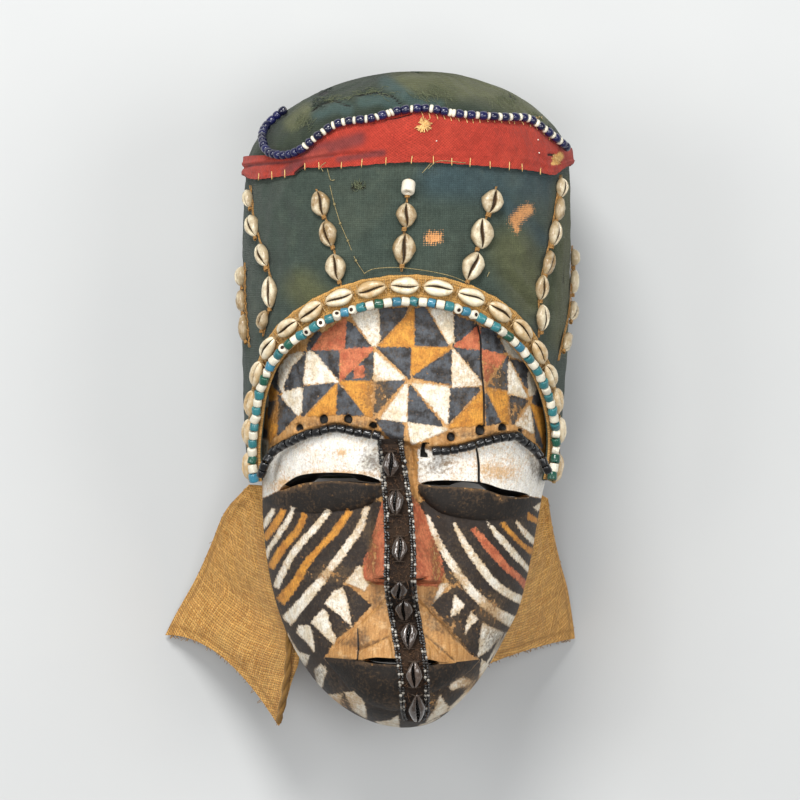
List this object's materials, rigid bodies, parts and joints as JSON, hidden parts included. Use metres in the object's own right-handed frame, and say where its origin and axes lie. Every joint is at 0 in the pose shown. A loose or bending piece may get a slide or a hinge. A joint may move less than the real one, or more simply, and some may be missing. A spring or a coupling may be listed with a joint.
{
  "type": "ngady amwaash mask",
  "caption": "Carved, painted wooden face mask under a cloth hood with cowrie shells, glass beads, a red band and raffia neck cloths; it lies on the back of its hood.",
  "frame": {"origin": "under the middle of the mask's whole box, on the surface that it lies on", "axes": "+X to the right of the face as it is seen, +Y towards the crown, +Z out of the face and up"},
  "size_m": [0.2622, 0.4114, 0.2215],
  "materials": {
    "painted_wood": "matte",
    "green_hood_cloth": "matte",
    "green_crown_cloth": "matte",
    "red_cloth": "matte",
    "raffia_cloth": "matte",
    "dark_cloth": "matte",
    "cowrie_shell": "satin",
    "dark_cowrie_shell": "gloss",
    "turquoise_glass_beads": "gloss",
    "blue_glass_beads": "gloss",
    "black_glass_beads": "gloss"
  },
  "bodies": {
    "root": {"wooden_face": "painted_wood", "hood_cloth": "green_hood_cloth", "crown_cloth": "green_crown_cloth", "red_band": "red_cloth", "rim_bead_string": "blue_glass_beads", "arch_binding": "raffia_cloth", "arch_bead_string": "turquoise_glass_beads", "arch_cowrie_1": "cowrie_shell", "arch_cowrie_2": "cowrie_shell", "arch_cowrie_3": "cowrie_shell", "arch_cowrie_4": "cowrie_shell", "arch_cowrie_5": "cowrie_shell", "arch_cowrie_6": "cowrie_shell", "arch_cowrie_7": "cowrie_shell", "arch_cowrie_8": "cowrie_shell", "arch_cowrie_9": "cowrie_shell", "arch_cowrie_10": "cowrie_shell", "arch_cowrie_11": "cowrie_shell", "arch_cowrie_12": "cowrie_shell", "arch_cowrie_13": "cowrie_shell", "arch_cowrie_14": "cowrie_shell", "arch_cowrie_15": "cowrie_shell", "arch_cowrie_16": "cowrie_shell", "arch_cowrie_17": "cowrie_shell", "arch_cowrie_18": "cowrie_shell", "arch_cowrie_19": "cowrie_shell", "brow_beads_left": "black_glass_beads", "brow_beads_right": "black_glass_beads", "nose_strip": "dark_cloth", "nose_cowrie_1": "dark_cowrie_shell", "nose_cowrie_2": "dark_cowrie_shell", "nose_cowrie_3": "dark_cowrie_shell", "nose_cowrie_4": "dark_cowrie_shell", "nose_cowrie_5": "dark_cowrie_shell", "nose_cowrie_6": "dark_cowrie_shell", "nose_cowrie_7": "dark_cowrie_shell", "nose_cowrie_8": "dark_cowrie_shell", "front_string_left": "cowrie_shell", "front_string_middle": "cowrie_shell", "front_string_right": "cowrie_shell", "side_string_left": "cowrie_shell", "side_string_right": "cowrie_shell", "edge_string_left": "cowrie_shell", "edge_string_right": "cowrie_shell", "neck_cloth_left": "raffia_cloth", "neck_cloth_right": "raffia_cloth"}
  },
  "joints": []
}
